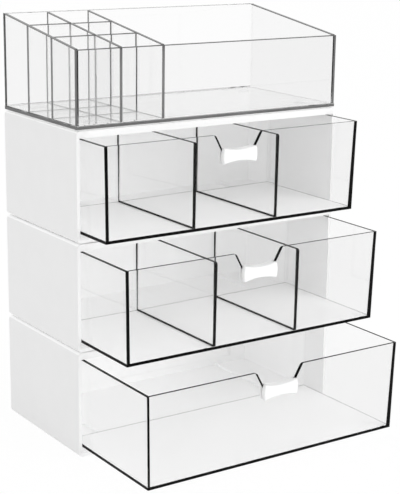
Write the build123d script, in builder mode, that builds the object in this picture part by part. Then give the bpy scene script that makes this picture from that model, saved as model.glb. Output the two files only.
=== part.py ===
from build123d import *

import os
from math import degrees, atan

# Stacking makeup organizer, millimetres, +Z up, front towards -Y.
# Three open-fronted white casings stand on each other, each with a clear drawer,
# and a clear tray of bonded sheets rests on the top one.
# The origin is the centre of the bottom casing's underside.

# ---------------------------------------------------------------- casings
casing_width = 240.0
casing_depth = 118.0
casing_height = 83.0
side_wall = 2.5
back_wall = 2.5
casing_floor = 3.0
top_panel = 2.5
header_height = 5.0          # front lip under the top panel, measured from the casing's top
header_depth = 2.5
outer_edge_radius = 3.0
inner_edge_radius = 1.2
rail_height = 2.2            # two ribs on the floor that carry the drawer
rail_width = 3.0
rail_spacing = 170.0
rail_setback = 2.0           # rail's front end behind the casing's front edge

# ---------------------------------------------------------------- stacking studs
stack_gap = 1.0              # collar thickness, the gap between two casings
stud_radius = 3.0
collar_radius = 5.0
stud_spacing_x = 196.0
stud_spacing_y = 78.0
stud_press_clearance = 0.05  # radial, stud in the casing that carries it
stud_lift_clearance = 0.3    # radial, stud in the casing that lifts off
stud_end_gap = 0.3           # pin end short of the panel's far face or the socket's end
socket_depth = 2.2           # blind sockets in the casing's underside

# ---------------------------------------------------------------- drawers
drawer_width = 231.4         # at the rim
drawer_depth = 114.8
drawer_height = 71.5
drawer_wall = 2.0
drawer_floor = 2.2
drawer_draft = 1.6           # how far each wall leans in from rim to base
drawer_corner_radius = 1.2
glide_gap = 0.3              # drawer base above the rails
drawer_travel = 94.0         # from closed to the rim lugs' stop
stop_gap = 0.3
lug_length = 3.0
lug_height = 1.8
lug_inset = 0.2              # lug narrower than the wall on each face
top_opening = 33.0           # how far each drawer stands open
middle_opening = 62.0
bottom_opening = 91.0

# ---------------------------------------------------------------- finger notch and pull
notch_top_width = 42.0
notch_side_slope = 0.56      # sideways per unit of depth
notch_top_radius = 3.0
notch_base_radius = 1.5
notch_rise = 5.0             # how far the notch's cutter reaches above the rim
pull_half_width = 15.0       # at the corners
pull_end_bulge = 0.8
pull_half_height = 6.2       # at the corners
pull_waist_half_height = 4.2
pull_drop = 16.2             # pull's centre below the rim
pull_stand = 3.0             # how far the pull stands in front of the wall
pull_back_plate = 1.2
pull_web = 1.2               # web over the notch's edge, at the waist
pull_corner_radius = 1.0
pull_face_radius = 1.2
pull_slot_clearance = 0.1
pull_web_clearance = 0.6     # web short of the notch's corners on each side

# ---------------------------------------------------------------- drawer dividers
divider_top_thickness = 2.0
divider_base_thickness = 2.8
divider_drop = 4.2           # divider's top below the drawer's rim
divider_corner_radius = 2.0

# ---------------------------------------------------------------- tray
tray_width = 238.0
tray_depth = 116.0
tray_front_height = 57.4
tray_back_height = 74.6
tray_wall = 2.5
tray_floor = 2.8
partition_thickness = 2.0
cell_width = 34.5
cell_rows = 3
lap_clearance = 0.1

# ---------------------------------------------------------------- derived places
unit_pitch = casing_height + stack_gap
casing_front = -casing_depth / 2
inner_width = casing_width - 2 * side_wall
drawer_base = casing_floor + rail_height + glide_gap
rim_level = drawer_base + drawer_height
draft_angle = degrees(atan(drawer_draft / drawer_height))
lean = drawer_draft / drawer_height
notch_depth = pull_drop - pull_waist_half_height + pull_web
notch_base_width = notch_top_width - 2 * notch_side_slope * notch_depth
divider_top = rim_level - divider_drop
divider_floor = drawer_base + drawer_floor
divider_pitch = (drawer_width - 2 * drawer_wall) / 3
tray_level = 3 * unit_pitch
tray_left = -tray_width / 2
tray_front = -tray_depth / 2
cell_depth = (tray_depth - 2 * tray_wall - (cell_rows - 1) * partition_thickness) / cell_rows


def export(part, name):
    """Label one finished piece and write it as its own file."""
    part.label = name
    export_step(part, f"parts/{name}.step")


# ================================================================ casings
def make_casing(base_z):
    """White open-fronted casing with floor rails, a front header and stacking sockets."""
    top_z = base_z + casing_height
    floor_z = base_z + casing_floor
    header_z = top_z - header_height
    inner_back = casing_depth / 2 - back_wall
    front_plane = Plane.XZ.offset(-casing_front)
    pocket_plane = Plane.XZ.offset(-casing_front - header_depth)
    with BuildPart() as casing:
        with BuildSketch(Plane.XY.offset(base_z)):
            Rectangle(casing_width, casing_depth)
        extrude(amount=casing_height)
        long_edges = casing.edges().filter_by(Axis.Y)
        back_edges = casing.faces().sort_by(Axis.Y)[-1].edges()
        fillet(long_edges + back_edges, outer_edge_radius)
        # drawer bay up to the header
        with BuildSketch(front_plane) as mouth:
            with Locations((0, (floor_z + header_z) / 2)):
                Rectangle(inner_width, header_z - floor_z)
            fillet(mouth.vertices().group_by(Axis.Y)[0], inner_edge_radius)
        extrude(amount=-(inner_back - casing_front), mode=Mode.SUBTRACT)
        # taller pocket behind the header
        with BuildSketch(pocket_plane):
            with Locations((0, (header_z - header_height + top_z - top_panel) / 2)):
                Rectangle(inner_width, top_z - top_panel - header_z + header_height)
        extrude(amount=-(inner_back - casing_front - header_depth), mode=Mode.SUBTRACT)
        # rails under the drawer
        rail_front = casing_front + rail_setback
        with BuildSketch(Plane.XY.offset(floor_z)):
            with Locations((0, (rail_front + inner_back) / 2)):
                with GridLocations(rail_spacing, 0, 2, 1):
                    Rectangle(rail_width, inner_back - rail_front)
        extrude(amount=rail_height)
        # blind sockets for the studs below, and holes for the studs above
        with BuildSketch(Plane.XY.offset(base_z)):
            with GridLocations(stud_spacing_x, stud_spacing_y, 2, 2):
                Circle(stud_radius + stud_lift_clearance)
        extrude(amount=socket_depth, mode=Mode.SUBTRACT)
        with BuildSketch(Plane.XY.offset(top_z - top_panel)):
            with GridLocations(stud_spacing_x, stud_spacing_y, 2, 2):
                Circle(stud_radius + stud_press_clearance)
        extrude(amount=top_panel, mode=Mode.SUBTRACT)
    return casing.part


def make_studs(casing_top, pin_above):
    """Four collared studs pressed into a casing's top; pin_above is the upper pin's length."""
    pin_below = top_panel - stud_end_gap
    with BuildPart() as studs:
        with BuildSketch(Plane.XY.offset(casing_top - pin_below)):
            with GridLocations(stud_spacing_x, stud_spacing_y, 2, 2):
                Circle(stud_radius)
        extrude(amount=pin_below + stack_gap + pin_above)
        with BuildSketch(Plane.XY.offset(casing_top)):
            with GridLocations(stud_spacing_x, stud_spacing_y, 2, 2):
                Circle(collar_radius)
        extrude(amount=stack_gap)
    return studs.part


# ================================================================ drawers
def wall_outline(inner_y, outer_y, low_z, high_z, rim_z):
    """Four corners in Y and Z of a band along the front wall.

    The band lies between two faces that are at inner_y and outer_y on the rim's level and
    move back by the wall's lean below it.
    """
    low_shift = lean * (rim_z - low_z)
    high_shift = lean * (rim_z - high_z)
    return [
        (outer_y + low_shift, low_z),
        (inner_y + low_shift, low_z),
        (inner_y + high_shift, high_z),
        (outer_y + high_shift, high_z),
    ]


def make_drawer(base_z, opening):
    """Clear drafted tub with a finger notch and stop lugs."""
    rim_z = base_z + rim_level
    front_y = casing_front - opening
    back_y = front_y + drawer_depth
    middle_y = (front_y + back_y) / 2
    notch_floor = rim_z - notch_depth
    with BuildPart() as drawer:
        with BuildSketch(Plane.XY.offset(rim_z)) as rim:
            with Locations((0, middle_y)):
                Rectangle(drawer_width, drawer_depth)
            fillet(rim.vertices(), drawer_corner_radius)
        extrude(amount=-drawer_height, taper=draft_angle)
        with BuildSketch(Plane.XY.offset(rim_z)):
            with Locations((0, middle_y)):
                Rectangle(drawer_width - 2 * drawer_wall, drawer_depth - 2 * drawer_wall)
        extrude(amount=-(drawer_height - drawer_floor), taper=draft_angle, mode=Mode.SUBTRACT)
        # finger notch in the front wall, cut from above the rim, with round corners
        cut_top = rim_z + notch_rise
        cut_half_width = notch_top_width / 2 + notch_side_slope * notch_rise
        with BuildSketch(Plane.XZ.offset(-front_y)) as notch:
            with BuildLine():
                Polyline(
                    (-cut_half_width, cut_top),
                    (-notch_base_width / 2, notch_floor),
                    (notch_base_width / 2, notch_floor),
                    (cut_half_width, cut_top),
                    close=True,
                )
            make_face()
            fillet(notch.vertices().group_by(Axis.Y)[0], notch_base_radius)
        extrude(amount=2 * drawer_wall, both=True, mode=Mode.SUBTRACT)
        notch_edges = drawer.edges().filter_by(Axis.Y)
        notch_edges = notch_edges.filter_by_position(Axis.X, -cut_half_width, cut_half_width)
        notch_edges = notch_edges.filter_by_position(Axis.Y, front_y, front_y + drawer_wall)
        fillet(notch_edges.group_by(Axis.Z)[-1], notch_top_radius)
        # lugs on the side walls' rims that meet the casing's header
        lug_y = front_y + header_depth + stop_gap + drawer_travel + lug_length / 2
        with BuildSketch(Plane.XY.offset(rim_z)):
            with Locations((0, lug_y)):
                with GridLocations(drawer_width - drawer_wall, 0, 2, 1):
                    Rectangle(drawer_wall - 2 * lug_inset, lug_length)
        extrude(amount=lug_height)
    return drawer.part


def make_divider(base_z, opening, place):
    """Clear divider, thicker at its foot, bonded to the drawer's floor and both leaning walls."""
    rim_z = base_z + rim_level
    low_z = base_z + divider_floor
    high_z = base_z + divider_top
    front_y = casing_front - opening + drawer_wall
    back_y = casing_front - opening + drawer_depth - drawer_wall
    low_shift = lean * (rim_z - low_z)
    high_shift = lean * (rim_z - high_z)
    with BuildPart() as divider:
        with BuildSketch(Plane.YZ.offset(place)) as outline:
            with BuildLine():
                Polyline(
                    (front_y + low_shift, low_z),
                    (back_y - low_shift, low_z),
                    (back_y - high_shift, high_z),
                    (front_y + high_shift, high_z),
                    close=True,
                )
            make_face()
            fillet(outline.vertices().group_by(Axis.Y)[-1], divider_corner_radius)
        extrude(amount=divider_base_thickness, both=True)
        # both faces taper from the foot to the top
        with BuildSketch(Plane.XZ.offset(-front_y)):
            with BuildLine():
                Polyline(
                    (place - divider_base_thickness / 2, low_z),
                    (place + divider_base_thickness / 2, low_z),
                    (place + divider_top_thickness / 2, high_z),
                    (place - divider_top_thickness / 2, high_z),
                    close=True,
                )
            make_face()
        extrude(amount=drawer_depth, both=True, mode=Mode.INTERSECT)
    return divider.part


def make_pull(base_z, opening):
    """White bow-tie pull that saddles the edge of the finger notch."""
    rim_z = base_z + rim_level
    front_y = casing_front - opening
    centre_z = rim_z - pull_drop
    corner_top = centre_z + pull_half_height
    corner_base = centre_z - pull_half_height
    end_x = pull_half_width + pull_end_bulge
    notch_floor = rim_z - notch_depth
    plate_back = drawer_wall + lean * (pull_drop + pull_half_height) + pull_back_plate
    web_half_width = notch_base_width / 2 - pull_web_clearance
    slot_outer = front_y - pull_slot_clearance
    slot_inner = front_y + drawer_wall + pull_slot_clearance
    past_edge = pull_half_height
    with BuildPart() as pull:
        with BuildSketch(Plane.XZ.offset(pull_stand - front_y)) as outline:
            with BuildLine():
                ThreePointArc(
                    (-pull_half_width, corner_top),
                    (0, centre_z + pull_waist_half_height),
                    (pull_half_width, corner_top),
                )
                ThreePointArc(
                    (pull_half_width, corner_top), (end_x, centre_z), (pull_half_width, corner_base)
                )
                ThreePointArc(
                    (pull_half_width, corner_base),
                    (0, centre_z - pull_waist_half_height),
                    (-pull_half_width, corner_base),
                )
                ThreePointArc(
                    (-pull_half_width, corner_base), (-end_x, centre_z), (-pull_half_width, corner_top)
                )
            make_face()
            fillet(outline.vertices(), pull_corner_radius)
        extrude(amount=pull_stand + plate_back, dir=(0, 1, 0))
        fillet(pull.faces().sort_by(Axis.Y)[0].edges(), pull_face_radius)
        # slot for the drawer's wall, below the notch's edge
        corners = wall_outline(slot_inner, slot_outer, corner_base - past_edge, notch_floor, rim_z)
        with BuildSketch(Plane.YZ):
            with BuildLine():
                Polyline(*corners, close=True)
            make_face()
        extrude(amount=pull_half_width + past_edge, both=True, mode=Mode.SUBTRACT)
        # the same slot beside the web, where the notch's sides rise
        corners = wall_outline(slot_inner, slot_outer, notch_floor, rim_z, rim_z)
        for side_plane in (Plane.YZ.offset(web_half_width), Plane.ZY.offset(web_half_width)):
            with BuildSketch(side_plane) as side_slot:
                with BuildLine():
                    points = [side_plane.to_local_coords(Vector(0, y, z)) for y, z in corners]
                    Polyline(*[(point.X, point.Y) for point in points], close=True)
                make_face()
            extrude(amount=past_edge + pull_half_width, mode=Mode.SUBTRACT)
    return pull.part


# ================================================================ tray
def tray_top(y):
    """Height above the tray's underside of a sloping top edge, y behind the tray's front."""
    return tray_front_height + (tray_back_height - tray_front_height) * y / tray_depth


def cross_place(row):
    """Distance from the tray's front to the near face of a cross partition."""
    return tray_wall + row * cell_depth + (row - 1) * partition_thickness


def sloping_sheet(x, thickness, notch_rows):
    """Upright sheet between the tray's front and back walls, with its top edge sloping.

    Each row in notch_rows gets a slot from the top down to half height for a cross partition.
    """
    low_z = tray_level + tray_floor
    near_y = tray_wall
    far_y = tray_depth - tray_wall
    with BuildPart() as sheet:
        with BuildSketch(Plane.YZ.offset(x)):
            with BuildLine():
                Polyline(
                    (tray_front + near_y, low_z),
                    (tray_front + far_y, low_z),
                    (tray_front + far_y, tray_level + tray_top(far_y)),
                    (tray_front + near_y, tray_level + tray_top(near_y)),
                    close=True,
                )
            make_face()
        extrude(amount=thickness / 2, both=True)
        for row in notch_rows:
            slot_y = tray_front + cross_place(row) + partition_thickness / 2
            slot_low = lap_level(row) - lap_clearance
            slot_high = tray_level + tray_back_height
            with BuildSketch(Plane.YZ.offset(x)):
                with Locations((slot_y, (slot_low + slot_high) / 2)):
                    Rectangle(partition_thickness + 2 * lap_clearance, slot_high - slot_low)
            extrude(amount=thickness, both=True, mode=Mode.SUBTRACT)
    return sheet.part


def lap_level(row):
    """Height at which a cross partition and the column partition lap over each other."""
    low_z = tray_level + tray_floor
    return (low_z + tray_level + tray_top(cross_place(row))) / 2


def make_cross_partition(row):
    """Sheet across the two columns of cells, slotted from below over the column partition."""
    low_z = tray_level + tray_floor
    high_z = tray_level + tray_top(cross_place(row))
    near_x = tray_left + tray_wall
    far_x = near_x + 2 * cell_width + partition_thickness
    slot_x = near_x + cell_width + partition_thickness / 2
    with BuildPart() as cross:
        with BuildSketch(Plane.XZ.offset(-tray_front - cross_place(row))):
            with Locations(((near_x + far_x) / 2, (low_z + high_z) / 2)):
                Rectangle(far_x - near_x, high_z - low_z)
            with Locations((slot_x, (low_z + lap_level(row)) / 2)):
                Rectangle(
                    partition_thickness + 2 * lap_clearance, lap_level(row) - low_z, mode=Mode.SUBTRACT
                )
        extrude(amount=-partition_thickness)
    return cross.part


def upright_wall(near_y, height):
    """Full-width sheet standing on the tray's floor sheet."""
    with BuildPart() as wall:
        with BuildSketch(Plane.XY.offset(tray_level + tray_floor)):
            with Locations((0, tray_front + near_y + tray_wall / 2)):
                Rectangle(tray_width, tray_wall)
        extrude(amount=height - tray_floor)
    return wall.part


# ================================================================ build and write
os.makedirs("parts", exist_ok=True)

units = [
    ("bottom", 0.0, bottom_opening, ()),
    ("middle", unit_pitch, middle_opening, (-divider_pitch / 2, divider_pitch / 2)),
    ("top", 2 * unit_pitch, top_opening, (-divider_pitch / 2, divider_pitch / 2)),
]
for name, base_z, opening, divider_places in units:
    export(make_casing(base_z), f"{name}_casing")
    export(make_drawer(base_z, opening), f"{name}_drawer")
    export(make_pull(base_z, opening), f"{name}_drawer_pull")
    for side, place in zip(("left", "right"), divider_places):
        export(make_divider(base_z, opening, place), f"{name}_drawer_{side}_divider")

upper_pin = socket_depth - stud_end_gap
export(make_studs(casing_height, upper_pin), "lower_stacking_studs")
export(make_studs(unit_pitch + casing_height, upper_pin), "upper_stacking_studs")
export(make_studs(2 * unit_pitch + casing_height, 0.0), "tray_pads")

with BuildPart() as tray_floor_sheet:
    with BuildSketch(Plane.XY.offset(tray_level)):
        Rectangle(tray_width, tray_depth)
    extrude(amount=tray_floor)
export(tray_floor_sheet.part, "tray_floor")
export(upright_wall(0.0, tray_front_height), "tray_front_wall")
export(upright_wall(tray_depth - tray_wall, tray_back_height), "tray_back_wall")
side_x = tray_width / 2 - tray_wall / 2
export(sloping_sheet(-side_x, tray_wall, ()), "tray_left_wall")
export(sloping_sheet(side_x, tray_wall, ()), "tray_right_wall")
first_column_x = tray_left + tray_wall + cell_width + partition_thickness / 2
second_column_x = first_column_x + cell_width + partition_thickness
inner_rows = range(1, cell_rows)
export(sloping_sheet(first_column_x, partition_thickness, inner_rows), "tray_left_column_partition")
export(sloping_sheet(second_column_x, partition_thickness, ()), "tray_right_column_partition")
for row, side in zip(inner_rows, ("front", "back")):
    export(make_cross_partition(row), f"tray_{side}_cross_partition")
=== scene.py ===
import math

import bmesh
import bpy
from mathutils import Matrix, Vector


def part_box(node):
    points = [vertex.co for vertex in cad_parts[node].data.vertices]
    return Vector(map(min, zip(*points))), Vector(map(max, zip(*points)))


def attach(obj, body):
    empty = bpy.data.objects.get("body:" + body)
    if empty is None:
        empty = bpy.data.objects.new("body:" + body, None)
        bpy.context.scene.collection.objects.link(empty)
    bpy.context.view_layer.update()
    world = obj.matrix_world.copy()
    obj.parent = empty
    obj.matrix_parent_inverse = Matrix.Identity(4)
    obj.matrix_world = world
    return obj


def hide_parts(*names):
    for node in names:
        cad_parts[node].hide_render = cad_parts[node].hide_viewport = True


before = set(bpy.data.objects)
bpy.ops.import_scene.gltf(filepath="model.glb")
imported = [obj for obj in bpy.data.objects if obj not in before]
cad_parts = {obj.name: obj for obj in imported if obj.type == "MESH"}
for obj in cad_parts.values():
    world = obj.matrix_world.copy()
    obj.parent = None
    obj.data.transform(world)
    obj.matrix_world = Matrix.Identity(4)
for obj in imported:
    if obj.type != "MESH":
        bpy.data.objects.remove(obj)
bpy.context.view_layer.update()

# Stacking organizer: three white casings, three clear drawers and a clear tray.
# Metres, +Z up, front towards -Y, the same frame as the CAD model.

UNITS = ("bottom", "middle", "top")
LEFT, RIGHT = -1, 1         # signs of x on the object's two sides
UP = Vector((0, 0, 1))

# ---------------------------------------------------------------- sizes of the drawers
LUG_HEIGHT = 0.0018         # stop lugs on the drawers' rims
DRAWER_WALL = 0.002
DRAFT = math.radians(1.6)   # lean of the drawers' walls
NOTCH_DEPTH = 0.0132
NOTCH_SLACK = 0.001         # upward faces this little below the notch's floor are still its rim
DRAWER_BAND = 0.0024        # height of the band of painted dark shade along the foot of the front and the left side
# how far the front corners' painted dark shade reaches over the front
LEFT_STRIP = {"bottom": 0.0013, "middle": 0.0021, "top": 0.0021}
RIGHT_STRIP = 0.0037
NOTCH_MARGIN = {LEFT: 0.0014, RIGHT: 0.0009}    # how far the painted dark shade on the notch's slopes reaches over it
RIM_MARGIN = 0.0005         # how far the rim's painted dark shade reaches down the outside of the drawer's sides

# ---------------------------------------------------------------- sizes of the panels and the tray
# widths of the painted dark shade along the panels' edges
DIVIDER_END = 0.0016
DIVIDER_TOP = 0.0004
DIVIDER_FOOT = 0.0011
PARTITION_END = 0.0005
PARTITION_TOP = 0.0007
PARTITION_FOOT = 0.0002
TRAY_WALL_TOP = 0.0006
TRAY_WALL = 0.0025
TRAY_FLOOR = 0.0028
TRAY_BAND = 0.0022          # height of the band of painted grey shade along the floor sheet's front and left edges
CORNER_BEVEL = 0.0006       # broken outer corners of the tray
SEAT = 0.00005              # how far a bonded panel's ends reach into the sheet that holds them
BOND_GAP = 0.00001          # between two clear sheets whose joint can't be seen

# ---------------------------------------------------------------- how faces are told apart
FLAT = 0.9                  # a face whose normal has this much of an axis faces along it
STEEP = 0.7                 # with this much, it looks mostly that way
SLOPED = 0.2                # with this much, it leans that way
TURNED = 0.1                # with this much, it isn't parallel to the axis
ON_PLANE = 0.0001           # corners nearer than this to a plane lie on it
WELD = 0.000001             # corners nearer than this are one
ON_CUT = 0.0000001          # corners nearer than this to a cutting plane aren't split from it
SAME_PLANE = math.radians(0.5)      # neighbouring triangles that turn less than this are one face

# ---------------------------------------------------------------- camera, as the photograph was taken
IMAGE_WIDTH, IMAGE_HEIGHT = 400, 494
FOCAL_PIXELS = 1369.763
CAMERA_PLACE = Vector((-0.5922, -0.9128, 0.4165))
CAMERA_YAW = math.radians(34.225)
CAMERA_PITCH = math.radians(-14.396)
CAMERA_ROLL = math.radians(0.786)
SENSOR = 36.0

# ---------------------------------------------------------------- looks
PLASTIC_IOR = 1.49
CASING_SKIN = 0.0005        # depth of the casings' upright outer sides that keep the plain greys; all else gets brighter greys as painted light
NOISE_MIDDLE = (0.3, 0.7)   # most of the noise lies between these
NOISE_DETAIL = 2.0
MOTTLE_SCALE = 45.0         # noise cells per metre, so blotches are about 20 mm
CASING_GRAIN = (1400.0, 0.00002)    # cells per metre and depth
PULL_GRAIN = (600.0, 0.00001)
CLEAR_WAVE = (30.0, 0.00002)        # the clear pieces' faint waviness, likewise
EDGE_GLOSS = (0.1, 0.25)    # roughness of the clear pieces' edges of painted dark shade
HAZE_GREYS = (0.94, 0.96)
FROST = 0.85                # share of light that the drawers' floors scatter
DRAWER_TINT = 0.95          # what a drawer's faces let through
BACK_TINT = 1.0             # and those of its back wall
SHEET_SHINE = 0.2           # share of a clear face's reflection that is kept
BACK_SHINE = 1.0            # and on a drawer's back wall
DIVIDER_SHINE = 1.0
MIX_FACTOR, MIX_FIRST, MIX_SECOND, MIX_RESULT = 0, 6, 7, 2  # sockets of a Mix node that mixes colours

# ---------------------------------------------------------------- floor and lights
FLOOR_REACH = 6.0
FLOOR_DROP = 0.0003         # keeps the floor off the casing's underside
FLOOR_PAPER = 0.96
FLOOR_WHITE = 0.93          # how much of the floor's look is plain white
WORLD_LIGHT = 0.98
SOFTBOX_PLACE = Vector((1.3, -1.35, 0.6))
SOFTBOX_AIM = Vector((0, 0, 0.15))
SOFTBOX_SIZE = 1.4
SOFTBOX_POWER = 15.0


def add_camera():
    """Camera at the photograph's place, turned by yaw from +Y to +X, then pitch, then roll."""
    forward = Vector((
        math.sin(CAMERA_YAW) * math.cos(CAMERA_PITCH),
        math.cos(CAMERA_YAW) * math.cos(CAMERA_PITCH),
        math.sin(CAMERA_PITCH),
    ))
    level_right = Vector((math.cos(CAMERA_YAW), -math.sin(CAMERA_YAW), 0))
    level_up = level_right.cross(forward)
    right = level_right * math.cos(CAMERA_ROLL) + level_up * math.sin(CAMERA_ROLL)
    up = level_up * math.cos(CAMERA_ROLL) - level_right * math.sin(CAMERA_ROLL)
    data = bpy.data.cameras.new("Camera")
    data.sensor_width = SENSOR
    data.lens = FOCAL_PIXELS * SENSOR / max(IMAGE_WIDTH, IMAGE_HEIGHT)
    camera = bpy.data.objects.new("Camera", data)
    bpy.context.scene.collection.objects.link(camera)
    turn = Matrix((right, up, -forward)).transposed().to_4x4()
    camera.matrix_world = Matrix.Translation(CAMERA_PLACE) @ turn
    bpy.context.scene.camera = camera


# ---------------------------------------------------------------- node helpers
def new_material(name):
    """Empty node material, its tree and its output node."""
    material = bpy.data.materials.new(name)
    material.use_nodes = True
    tree = material.node_tree
    tree.nodes.clear()
    return material, tree, tree.nodes.new("ShaderNodeOutputMaterial")


def grey(value):
    return (value, value, value, 1.0)


def noise_range(tree, scale, low, high):
    """Socket with object-space noise, spread from low to high."""
    place = tree.nodes.new("ShaderNodeTexCoord")
    noise = tree.nodes.new("ShaderNodeTexNoise")
    noise.inputs["Scale"].default_value = scale
    noise.inputs["Detail"].default_value = NOISE_DETAIL
    spread = tree.nodes.new("ShaderNodeMapRange")
    spread.inputs["From Min"].default_value = NOISE_MIDDLE[0]
    spread.inputs["From Max"].default_value = NOISE_MIDDLE[1]
    spread.inputs["To Min"].default_value = low
    spread.inputs["To Max"].default_value = high
    tree.links.new(place.outputs["Object"], noise.inputs["Vector"])
    tree.links.new(noise.outputs["Fac"], spread.inputs["Value"])
    return spread.outputs["Result"]


def noise_bump(tree, scale, depth):
    """Socket with a normal that object-space noise roughens."""
    bump = tree.nodes.new("ShaderNodeBump")
    bump.inputs["Strength"].default_value = 1.0
    bump.inputs["Distance"].default_value = depth
    tree.links.new(noise_range(tree, scale, 0.0, 1.0), bump.inputs["Height"])
    return bump.outputs["Normal"]


def shaded(tree, low, high):
    """Colour socket that varies between two greys in soft blotches."""
    blend = tree.nodes.new("ShaderNodeMix")
    blend.data_type = "RGBA"
    blend.inputs[MIX_FIRST].default_value = grey(low)
    blend.inputs[MIX_SECOND].default_value = grey(high)
    tree.links.new(noise_range(tree, MOTTLE_SCALE, 0.0, 1.0), blend.inputs[MIX_FACTOR])
    return blend.outputs[MIX_RESULT]


def face_value(tree, mark):
    """Socket with what each face's attribute says."""
    attribute = tree.nodes.new("ShaderNodeAttribute")
    attribute.attribute_name = mark
    return attribute.outputs["Fac"]


def math_node(tree, operation, first, second=None):
    """Socket with a calculation on one or two sockets, of which the second may be a number."""
    node = tree.nodes.new("ShaderNodeMath")
    node.operation = operation
    tree.links.new(first, node.inputs[0])
    if isinstance(second, float):
        node.inputs[1].default_value = second
    elif second is not None:
        tree.links.new(second, node.inputs[1])
    return node.outputs[0]


def mix_shaders(tree, share, first, second=None):
    """Socket that shows the second shader as far as share says, or nothing if there is none."""
    mix = tree.nodes.new("ShaderNodeMixShader")
    tree.links.new(share, mix.inputs[0])
    tree.links.new(first, mix.inputs[1])
    if second is not None:
        tree.links.new(second, mix.inputs[2])
    return mix.outputs[0]


def within_casing(tree):
    """Socket that is 0 on the skin of the casings' four upright sides and 1 elsewhere, where the
    brighter painted light goes.
    """
    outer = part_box("bottom_casing")[1]
    place = tree.nodes.new("ShaderNodeTexCoord")
    parts = tree.nodes.new("ShaderNodeSeparateXYZ")
    tree.links.new(place.outputs["Object"], parts.inputs[0])
    shares = [
        math_node(
            tree, "DIVIDE", math_node(tree, "ABSOLUTE", parts.outputs[axis]), reach - CASING_SKIN
        )
        for axis, reach in (("X", outer.x), ("Y", outer.y))
    ]
    return math_node(tree, "LESS_THAN", math_node(tree, "MAXIMUM", *shares), 1.0)


# ---------------------------------------------------------------- materials
def solid_plastic(name, greys, gloss, grain, specular=0.5, inner=None):
    """Opaque plastic: two close greys, uneven gloss and a fine grain.

    Gloss is a range of roughness. The last argument is a second, brighter pair of greys for all of the
    casings but
    their upright sides: painted light, in place of the light that passes through the white walls.
    """
    material, tree, output = new_material(name)
    plastic = tree.nodes.new("ShaderNodeBsdfPrincipled")
    plastic.inputs["IOR"].default_value = PLASTIC_IOR
    plastic.inputs["Specular IOR Level"].default_value = specular
    colour = shaded(tree, *greys)
    if inner:
        both = tree.nodes.new("ShaderNodeMix")
        both.data_type = "RGBA"
        tree.links.new(within_casing(tree), both.inputs[MIX_FACTOR])
        tree.links.new(colour, both.inputs[MIX_FIRST])
        tree.links.new(shaded(tree, *inner), both.inputs[MIX_SECOND])
        colour = both.outputs[MIX_RESULT]
    tree.links.new(colour, plastic.inputs["Base Color"])
    tree.links.new(noise_range(tree, MOTTLE_SCALE, *gloss), plastic.inputs["Roughness"])
    tree.links.new(noise_bump(tree, *grain), plastic.inputs["Normal"])
    tree.links.new(plastic.outputs[0], output.inputs["Surface"])
    return material


def clear_plastic(name, density, shine, varied=False, bonded=False):
    """Clear plastic that bends light, darkens what is seen through it and lets lamps through.

    Where it is varied, each face's attributes "shine" and "tint" say how bright its reflection is
    and what it lets through, and "frost" what share of light it scatters.
    Where it is bonded, faces with the attribute "bond" are optically joined to the next sheet.
    """
    material, tree, output = new_material(name)
    glass = tree.nodes.new("ShaderNodeBsdfPrincipled")
    glass.inputs["Base Color"].default_value = grey(1.0)
    glass.inputs["Transmission Weight"].default_value = 1.0
    glass.inputs["IOR"].default_value = PLASTIC_IOR
    glass.inputs["Specular Tint"].default_value = grey(shine)
    glass.inputs["Roughness"].default_value = 0.0
    tree.links.new(noise_bump(tree, *CLEAR_WAVE), glass.inputs["Normal"])
    body = glass.outputs[0]
    if varied:
        tree.links.new(face_value(tree, "shine"), glass.inputs["Specular Tint"])
        tree.links.new(face_value(tree, "tint"), glass.inputs["Base Color"])
        haze = tree.nodes.new("ShaderNodeBsdfDiffuse")
        tree.links.new(shaded(tree, *HAZE_GREYS), haze.inputs["Color"])
        body = mix_shaders(tree, face_value(tree, "frost"), body, haze.outputs[0])
    path = tree.nodes.new("ShaderNodeLightPath")
    from_light = math_node(
        tree, "MAXIMUM", path.outputs["Is Shadow Ray"], path.outputs["Is Diffuse Ray"]
    )
    unseen = tree.nodes.new("ShaderNodeBsdfTransparent")
    surface = mix_shaders(tree, from_light, body, unseen.outputs[0])
    if bonded:
        joined = tree.nodes.new("ShaderNodeBsdfTransparent")
        surface = mix_shaders(tree, face_value(tree, "bond"), surface, joined.outputs[0])
    depth = tree.nodes.new("ShaderNodeVolumeAbsorption")
    depth.inputs["Color"].default_value = grey(0.0)
    depth.inputs["Density"].default_value = density
    tree.links.new(surface, output.inputs["Surface"])
    tree.links.new(mix_shaders(tree, from_light, depth.outputs[0]), output.inputs["Volume"])
    return material


# painted light: the casings' insides, tops, undersides and most of their rounded edges get brighter
# greys than their upright outer sides, in place of light that passes through the white walls
casing_white = solid_plastic(
    "casing_white", greys=(0.81, 0.83), gloss=(0.38, 0.48), grain=CASING_GRAIN, inner=(0.96, 0.97)
)
stud_white = solid_plastic("stud_white", greys=(0.78, 0.8), gloss=(0.5, 0.6), grain=CASING_GRAIN)
pull_white = solid_plastic("pull_white", greys=(0.82, 0.84), gloss=(0.15, 0.22), grain=PULL_GRAIN)
pad_milky = solid_plastic("pad_milky", greys=(0.82, 0.85), gloss=(0.45, 0.6), grain=PULL_GRAIN)
# painted shade: near-black for the drawers' and dividers' edges, in place of the light that the clear
# sheets lead away along them
painted_drawer_shade = solid_plastic(
    "painted_drawer_shade", greys=(0.002, 0.004), gloss=EDGE_GLOSS, grain=PULL_GRAIN, specular=0.05
)
# painted shade: grey for the tray sheets' edges, in place of the light that the clear sheets lead away
# along them
painted_tray_shade = solid_plastic(
    "painted_tray_shade", greys=(0.1, 0.14), gloss=EDGE_GLOSS, grain=PULL_GRAIN, specular=0.3
)
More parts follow.
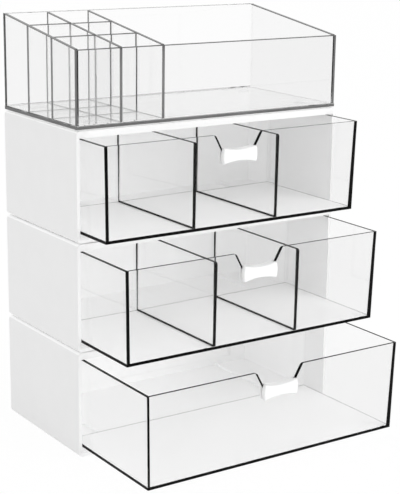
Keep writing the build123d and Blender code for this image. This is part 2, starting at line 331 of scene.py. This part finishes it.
# painted shade: greys for the partitions' ends, tops and feet, in place of the light that the clear
# sheets lead away along them
painted_partition_shade = solid_plastic(
    "painted_partition_shade", greys=(0.14, 0.18), gloss=EDGE_GLOSS, grain=PULL_GRAIN, specular=0.3
)
painted_partition_foot_shade = solid_plastic(
    "painted_partition_foot_shade", greys=(0.4, 0.46), gloss=EDGE_GLOSS, grain=PULL_GRAIN, specular=0.3
)
drawer_clear = clear_plastic("drawer_clear", density=2.0, shine=SHEET_SHINE, varied=True)
divider_clear = clear_plastic("divider_clear", density=8.0, shine=DIVIDER_SHINE)
tray_clear = clear_plastic("tray_clear", density=22.0, shine=SHEET_SHINE, bonded=True)
tray_pale = clear_plastic("tray_pale", density=6.0, shine=SHEET_SHINE, bonded=True)
partition_clear = clear_plastic("partition_clear", density=10.0, shine=SHEET_SHINE)


# ---------------------------------------------------------------- pieces made from CAD nodes
def welded(node):
    """bmesh of a CAD node with its seams closed and its flat triangles joined into whole faces."""
    work = bmesh.new()
    work.from_mesh(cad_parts[node].data)
    bmesh.ops.remove_doubles(work, verts=work.verts, dist=WELD)
    bmesh.ops.dissolve_limit(work, angle_limit=SAME_PLANE, verts=work.verts, edges=work.edges)
    work.normal_update()
    return work


def cut(work, place, normal):
    """Split the faces of work along a plane."""
    everything = work.verts[:] + work.edges[:] + work.faces[:]
    bmesh.ops.bisect_plane(work, geom=everything, plane_co=place, plane_no=normal, dist=ON_CUT)


def push(work, chosen, shift):
    """Move the corners of the chosen faces."""
    corners = {corner for face in work.faces if chosen(face) for corner in face.verts}
    bmesh.ops.translate(work, verts=list(corners), vec=shift)


def edge_planes(work, directions):
    """Planes that part a sheet's margins of painted dark shade from the rest, from (direction, width)
    pairs.

    Each lies inside the outermost face that looks in its direction, by the width.
    """
    planes = []
    for direction, width in directions:
        facing = [face for face in work.faces if face.normal.dot(direction) > STEEP]
        outermost = max(facing, key=lambda face: face.calc_center_median().dot(direction))
        inside = outermost.calc_center_median() - outermost.normal * width
        planes.append((inside, outermost.normal.copy()))
    return planes


def beyond(centre, planes):
    """True outside any of the planes."""
    return any((centre - place).dot(outward) > 0 for place, outward in planes)


def finish_piece(work, node, body, materials, pick, marks=()):
    """Object from work that stands for node.

    Pick gives each face's material number, and marks pairs an attribute's name with each face's value.
    """
    work.normal_update()
    for face in work.faces:
        face.material_index = pick(face)
        face.smooth = False
    mesh = bpy.data.meshes.new(node)
    work.to_mesh(mesh)
    for material in materials:
        mesh.materials.append(material)
    for mark, value in marks:
        attribute = mesh.attributes.new(mark, "FLOAT", "FACE")
        attribute.data.foreach_set("value", [float(value(face)) for face in work.faces])
    work.free()
    piece = bpy.data.objects.new(node + "_piece", mesh)
    bpy.context.scene.collection.objects.link(piece)
    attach(piece, body)
    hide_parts(node)


def notch_slopes(work):
    """Planes that part the notch's margins of painted shade from the front, one for each side."""
    planes = {}
    for side, margin in NOTCH_MARGIN.items():
        slopes = [
            face for face in work.faces
            if face.normal.z > SLOPED and side * face.normal.x < -SLOPED
        ]
        slope = max(slopes, key=lambda face: face.calc_area())
        planes[side] = (slope.calc_center_median() - slope.normal * margin, slope.normal.copy())
    return planes


def make_drawer(name):
    """Clear tub with a frosted floor.

    Its rim and notch, the foot of its front and left side and its front corners get near-black painted
    shade, in place of the light that the clear walls lead away along their edges.
    """
    node = f"{name}_drawer"
    low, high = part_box(node)
    middle_y = (low.y + high.y) / 2
    rim = high.z - LUG_HEIGHT
    notch_floor = rim - NOTCH_DEPTH
    band_top = low.z + DRAWER_BAND
    strips = {LEFT: LEFT_STRIP[name], RIGHT: RIGHT_STRIP}
    work = welded(node)
    cut(work, (0, 0, band_top), UP)
    for side, strip in strips.items():
        corner = Vector((side * (high.x - strip), 0, high.z))
        cut(work, corner, (math.cos(DRAFT), 0, -side * math.sin(DRAFT)))
    cut(work, (0, 0, rim - RIM_MARGIN), UP)
    work.normal_update()
    slopes = notch_slopes(work)
    for place, outward in slopes.values():
        cut(work, place, outward)
    cut(work, (0, 0, notch_floor), UP)

    def pick(face):
        normal, centre = face.normal, face.calc_center_median()
        side = RIGHT if centre.x > 0 else LEFT
        at_front = centre.y < middle_y
        beside_notch = at_front and normal.y < -FLAT and centre.z > notch_floor
        at_notch = beside_notch and beyond(centre, [slopes[side]])
        on_rim = normal.z > SLOPED and centre.z > notch_floor - NOTCH_SLACK
        in_band = centre.z < band_top and (normal.x < -TURNED or normal.y < -TURNED)
        strip_edge = high.x - strips[side] - (high.z - centre.z) * math.tan(DRAFT)
        on_corner = at_front and normal.y < -TURNED and abs(centre.x) > strip_edge
        on_side = abs(normal.x) > FLAT and abs(centre.x) > high.x - DRAWER_WALL / 2
        under_rim = on_side and centre.z > rim - RIM_MARGIN
        return int(on_rim or in_band or on_corner or under_rim or at_notch)

    def on_back_wall(face):
        return abs(face.normal.y) > FLAT and face.calc_center_median().y > middle_y

    def shine(face):
        return BACK_SHINE if on_back_wall(face) else SHEET_SHINE

    def tint(face):
        return BACK_TINT if on_back_wall(face) else DRAWER_TINT

    def frost(face):
        on_floor = face.normal.z > FLAT and face.calc_center_median().z < band_top
        return FROST if on_floor else 0

    finish_piece(
        work, node, f"{name}_drawer_body", (drawer_clear, painted_drawer_shade), pick,
        (("shine", shine), ("tint", tint), ("frost", frost)),
    )


def make_panel(node, body, materials, end_margin, top_margin, foot_margin):
    """Clear panel bonded at both ends and along its foot, with painted dark shade on its narrow faces
    and margins.

    Materials are the clear one, the painted shade of its ends and top, and the painted shade of its
    foot.
    """
    low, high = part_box(node)
    along_y = high.y - low.y > high.x - low.x
    axis, side = Vector((1, 0, 0)), Vector((0, 1, 0))
    if along_y:
        axis, side = side, axis
    work = welded(node)
    ends_and_top = edge_planes(work, ((axis, end_margin), (-axis, end_margin), (UP, top_margin)))
    foot = edge_planes(work, ((-UP, foot_margin),))
    for outward in (axis, -axis, -UP):
        push(work, lambda face: face.normal.dot(outward) > FLAT, outward * SEAT)
    for place, outward in ends_and_top + foot:
        cut(work, place, outward)

    def pick(face):
        centre = face.calc_center_median()
        if beyond(centre, ends_and_top) or face.normal.z > STEEP:
            return 1
        narrow = abs(face.normal.dot(side)) < FLAT
        return 2 if narrow or beyond(centre, foot) else 0

    finish_piece(work, node, body, materials, pick)


def bevel_tray_corners(work, outer_y, outer_x):
    """Break a front or back wall's upright outer edges."""
    corners = [
        edge for edge in work.edges
        if all(
            abs(end.co.y - outer_y) < ON_PLANE and abs(abs(end.co.x) - outer_x) < ON_PLANE
            for end in edge.verts
        )
    ]
    bmesh.ops.bevel(work, geom=corners, offset=CORNER_BEVEL, segments=1, affect="EDGES")


def make_tray_sheet(node):
    """Clear sheet of the tray's shell, joined without a visible seam, with painted grey shade on its
    outer edges.
    """
    low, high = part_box(node)
    shell_low, shell_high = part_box("tray_floor")
    inner_low = shell_low + Vector((TRAY_WALL, TRAY_WALL, TRAY_FLOOR))
    inner_high = shell_high - Vector((TRAY_WALL, TRAY_WALL, 0))
    is_floor = node == "tray_floor"
    is_back = node == "tray_back_wall"
    runs_back = high.y - low.y > high.x - low.x
    work = welded(node)
    planes = []
    if not (is_floor or is_back):
        planes = edge_planes(work, ((UP, TRAY_WALL_TOP),))
    if not is_floor:
        push(work, lambda face: face.normal.z < -FLAT, UP * BOND_GAP)
        if runs_back:
            push(work, lambda face: face.normal.y > FLAT, Vector((0, -BOND_GAP, 0)))
            push(work, lambda face: face.normal.y < -FLAT, Vector((0, BOND_GAP, 0)))
        else:
            bevel_tray_corners(work, shell_low.y if low.y < 0 else shell_high.y, shell_high.x)
    for place, outward in planes:
        cut(work, place, outward)
    if is_floor or not runs_back:
        cut(work, (inner_low.x, 0, 0), (1, 0, 0))
        cut(work, (inner_high.x, 0, 0), (1, 0, 0))
    if is_floor:
        cut(work, (0, inner_low.y, 0), (0, 1, 0))
        cut(work, (0, inner_high.y, 0), (0, 1, 0))
        cut(work, (0, 0, shell_low.z + TRAY_BAND), UP)

    def pick(face):
        normal, centre = face.normal, face.calc_center_median()
        if is_floor:
            outward = normal.x < -FLAT or normal.y < -FLAT
            return int(outward and centre.z < shell_low.z + TRAY_BAND)
        if is_back:
            return 0
        at_corner = abs(normal.x) > TURNED and not runs_back
        front_strip = normal.y < -FLAT and centre.x > inner_high.x and not runs_back
        return int(normal.z > STEEP or at_corner or front_strip or beyond(centre, planes))

    def bonded(face):
        normal, centre = face.normal, face.calc_center_median()
        beside = not inner_low.x < centre.x < inner_high.x
        before = not inner_low.y < centre.y < inner_high.y
        if is_floor:
            return normal.z > FLAT and (beside or before)
        if normal.z < -FLAT:
            return True
        if runs_back:
            return abs(normal.y) > FLAT
        inward = normal.y if centre.y < 0 else -normal.y
        return inward > FLAT and beside

    clear = tray_pale if is_floor or is_back else tray_clear
    finish_piece(
        work, node, "tray_body", (clear, painted_tray_shade), pick, (("bond", bonded),)
    )


def dress(node, material):
    """Give a CAD node that stays in sight its material."""
    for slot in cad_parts[node].material_slots:
        slot.material = material


for unit in UNITS:
    make_drawer(unit)
    dress(f"{unit}_casing", casing_white)
    dress(f"{unit}_drawer_pull", pull_white)
for node, material in (
    ("lower_stacking_studs", stud_white),
    ("upper_stacking_studs", stud_white),
    ("tray_pads", pad_milky),
):
    dress(node, material)
for unit in UNITS[1:]:      # the bottom drawer has no dividers
    for side in ("left", "right"):
        make_panel(
            f"{unit}_drawer_{side}_divider", f"{unit}_drawer_body",
            (divider_clear, painted_drawer_shade, painted_drawer_shade), DIVIDER_END, DIVIDER_TOP, DIVIDER_FOOT,
        )
for node in (
    "tray_left_column_partition",
    "tray_right_column_partition",
    "tray_front_cross_partition",
    "tray_back_cross_partition",
):
    make_panel(
        node, "tray_body",
        (partition_clear, painted_partition_shade, painted_partition_foot_shade),
        PARTITION_END, PARTITION_TOP, PARTITION_FOOT,
    )
for node in ("tray_floor", "tray_front_wall", "tray_back_wall", "tray_left_wall", "tray_right_wall"):
    make_tray_sheet(node)


# ---------------------------------------------------------------- studio
def seen_directly(tree, share):
    """Socket that is share for rays from the camera, a mirror or through clear plastic, else 0."""
    path = tree.nodes.new("ShaderNodeLightPath")
    seen = math_node(
        tree, "MAXIMUM", path.outputs["Is Camera Ray"], path.outputs["Is Glossy Ray"]
    )
    seen = math_node(tree, "MAXIMUM", seen, path.outputs["Is Transmission Ray"])
    return math_node(tree, "MULTIPLY", seen, share)


def add_floor():
    """Plain pale floor that shows white and keeps a soft shadow."""
    mesh = bpy.data.meshes.new("studio_floor")
    corners = [
        (x * FLOOR_REACH, y * FLOOR_REACH, 0) for x, y in ((-1, -1), (1, -1), (1, 1), (-1, 1))
    ]
    mesh.from_pydata(corners, [], [(0, 1, 2, 3)])
    floor = bpy.data.objects.new("studio_floor", mesh)
    floor.location.z = -FLOOR_DROP
    bpy.context.scene.collection.objects.link(floor)
    material, tree, output = new_material("studio_floor")
    paper = tree.nodes.new("ShaderNodeBsdfDiffuse")
    paper.inputs["Color"].default_value = grey(FLOOR_PAPER)
    white = tree.nodes.new("ShaderNodeEmission")
    white.inputs["Color"].default_value = grey(1.0)
    both = mix_shaders(tree, seen_directly(tree, FLOOR_WHITE), paper.outputs[0], white.outputs[0])
    tree.links.new(both, output.inputs["Surface"])
    mesh.materials.append(material)


def add_world():
    """Even white surround that lights the object a little less than it shows."""
    world = bpy.data.worlds.new("studio")
    world.use_nodes = True
    tree = world.node_tree
    tree.nodes.clear()
    output = tree.nodes.new("ShaderNodeOutputWorld")
    lit = tree.nodes.new("ShaderNodeBackground")
    lit.inputs["Strength"].default_value = WORLD_LIGHT
    shown = tree.nodes.new("ShaderNodeBackground")
    for background in (lit, shown):
        background.inputs["Color"].default_value = grey(1.0)
    both = mix_shaders(tree, seen_directly(tree, 1.0), lit.outputs[0], shown.outputs[0])
    tree.links.new(both, output.inputs["Surface"])
    bpy.context.scene.world = world


def add_softbox():
    """Large square lamp at the front right that no mirror or clear sheet shows."""
    lamp = bpy.data.lights.new("front_softbox", "AREA")
    lamp.energy = SOFTBOX_POWER
    lamp.size = SOFTBOX_SIZE
    holder = bpy.data.objects.new("front_softbox", lamp)
    bpy.context.scene.collection.objects.link(holder)
    holder.visible_glossy = False
    holder.visible_transmission = False
    holder.location = SOFTBOX_PLACE
    holder.rotation_mode = "QUATERNION"
    holder.rotation_quaternion = (SOFTBOX_AIM - SOFTBOX_PLACE).to_track_quat("-Z", "Y")


scene = bpy.context.scene
scene.view_settings.view_transform = "Standard"
# clear sheets stand one behind another, and the white casings' insides pass light on many times
scene.cycles.max_bounces = 24
scene.cycles.transmission_bounces = 20
scene.cycles.glossy_bounces = 16
scene.cycles.diffuse_bounces = 12
scene.cycles.transparent_max_bounces = 64
scene.cycles.caustics_reflective = False
scene.cycles.caustics_refractive = False

add_camera()
add_floor()
add_world()
add_softbox()
